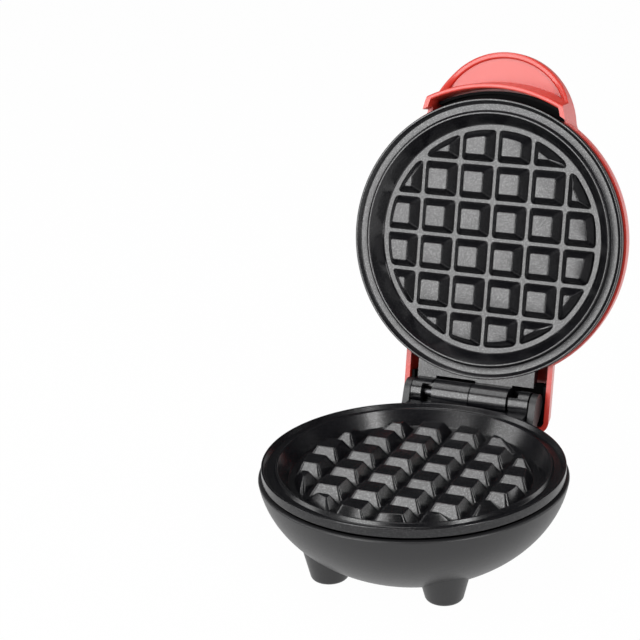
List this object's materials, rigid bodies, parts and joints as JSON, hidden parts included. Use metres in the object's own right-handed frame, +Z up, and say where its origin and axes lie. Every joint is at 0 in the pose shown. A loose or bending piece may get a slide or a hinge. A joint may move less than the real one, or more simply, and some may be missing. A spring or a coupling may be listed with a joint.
{
  "type": "mini waffle maker",
  "caption": "Small round waffle maker standing open: gridded cooking plates, red domed lid with a scooped handle, grey bowl base on feet, interleaved rear hinge.",
  "frame": {"origin": "on the table plane, under the middle of the bounding box of the open object", "axes": "+Z up; the handle side and the opening face -Y, the hinge is at +Y; +X is to the right seen from the front"},
  "size_m": [0.1244, 0.1867, 0.1868],
  "materials": {
    "shell_grey": "satin dark grey heat-resistant moulding",
    "plate_coating": "cast aluminium under a fine speckled grey non-stick coating",
    "pin_steel": "blackened steel",
    "screw_steel": "zinc-plated steel",
    "pad_rubber": "matt black rubber",
    "fitting_black": "matt black nylon",
    "element_sheath": "dull swaged aluminium sheath",
    "clip_steel": "plain spring steel",
    "reflector_aluminium": "bright rolled sheet",
    "thermostat_body": "dark moulded disc thermostat body",
    "fuse_body": "pale sleeve over the thermal fuse",
    "terminal_white": "off-white moulded terminal strip",
    "lead_insulation": "off-white silicone insulation",
    "cover_red": "glossy red moulding",
    "lens_red": "clear dark red moulding with a prism pattern",
    "holder_white": "off-white heat-resistant moulding",
    "lamp_glass": "small neon lamp, clear glass",
    "liner_grey": "satin dark grey moulding"
  },
  "bodies": {
    "base": {"base_shell": "shell_grey", "lower_plate": "plate_coating", "hinge_pin": "pin_steel", "base_screws": "screw_steel", "foot_pads": "pad_rubber", "cord_gland": "fitting_black", "lower_element": "element_sheath", "lower_element_clamps": "clip_steel", "lower_reflector": "reflector_aluminium", "thermostat": "thermostat_body", "thermal_fuse": "fuse_body", "fuse_clip": "clip_steel", "terminal_block": "terminal_white", "element_leads": "lead_insulation"},
    "lid": {"upper_plate": "plate_coating", "lid_cover": "cover_red", "top_cap": "cover_red", "indicator_lens": "lens_red", "lamp_holder": "holder_white", "indicator_lamp": "lamp_glass", "lid_screws": "screw_steel", "upper_element": "element_sheath", "upper_element_clamps": "clip_steel", "upper_reflector": "reflector_aluminium", "front_liner": "liner_grey", "tail_liner": "liner_grey"}
  },
  "joints": [
    {"name": "lid_hinge", "type": "hinge", "parent": "base", "child": "lid", "pos_m": [0, 0.03805, 0.0426], "axis": [1, 0, 0], "range_deg": [0, 102.4]}
  ]
}
